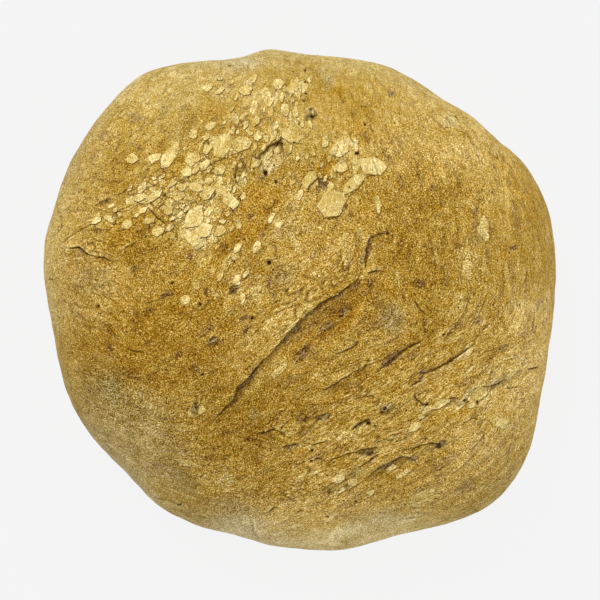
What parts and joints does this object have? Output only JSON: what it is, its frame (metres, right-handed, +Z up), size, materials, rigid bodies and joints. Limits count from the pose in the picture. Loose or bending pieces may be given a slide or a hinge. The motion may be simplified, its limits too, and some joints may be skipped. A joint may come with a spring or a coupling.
{
  "type": "round country loaf",
  "caption": "Round free-form loaf of bread with a flat sole, a low dome, a folded and cracked crust, to lie on a table, shelf or board.",
  "frame": {"origin": "middle of the flat sole that the loaf stands on", "axes": "+Z up through the crown; +X to the right and +Y to the far side of the loaf, as the picture from above shows right and up"},
  "size_m": [0.256, 0.2502, 0.1041],
  "materials": {
    "crust": "matt baked crust, golden tan, with paler dry flakes and a dusting of flour"
  },
  "bodies": {
    "root": {"loaf": "crust"}
  },
  "joints": []
}
